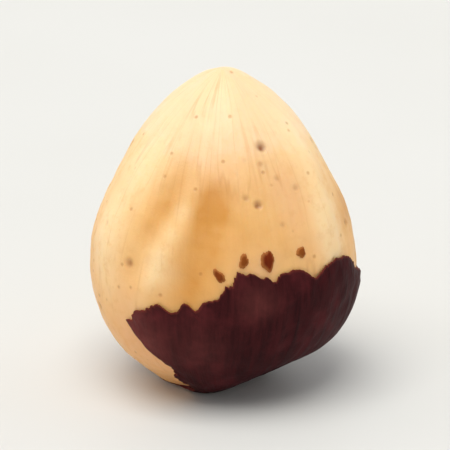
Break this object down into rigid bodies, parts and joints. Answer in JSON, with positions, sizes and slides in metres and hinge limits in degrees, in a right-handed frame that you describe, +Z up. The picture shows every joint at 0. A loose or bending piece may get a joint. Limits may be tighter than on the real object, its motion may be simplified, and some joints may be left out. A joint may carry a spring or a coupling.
{
  "type": "hazelnut kernel, roasted and partly skinned",
  "caption": "Whole roasted hazelnut kernel, teardrop shaped, tip up on a small flat spot, with a torn remnant of dark papery skin over its lower side.",
  "frame": {"origin": "middle of the small flat spot that the nut rests on, at the level of the surface under it", "axes": "+Z up through the tip, the longest way; -Y is the front, where the torn upper edge of the skin shows; +X is to the right seen from the front"},
  "size_m": [0.013, 0.0123, 0.0156],
  "materials": {
    "flesh": "smooth roasted nut flesh with an oily satin sheen, cream at the tip and golden in the furrows",
    "dark_skin": "thin dry papery skin, dark burgundy brown, fibrous and slightly wrinkled, with a satin sheen",
    "thin_skin": "thin worn flecks of skin, reddish brown, matt"
  },
  "bodies": {
    "root": {"kernel": "flesh", "skin": "dark_skin", "skin_fleck_1": "thin_skin", "skin_fleck_2": "thin_skin", "skin_fleck_3": "thin_skin", "skin_fleck_4": "thin_skin"}
  },
  "joints": []
}
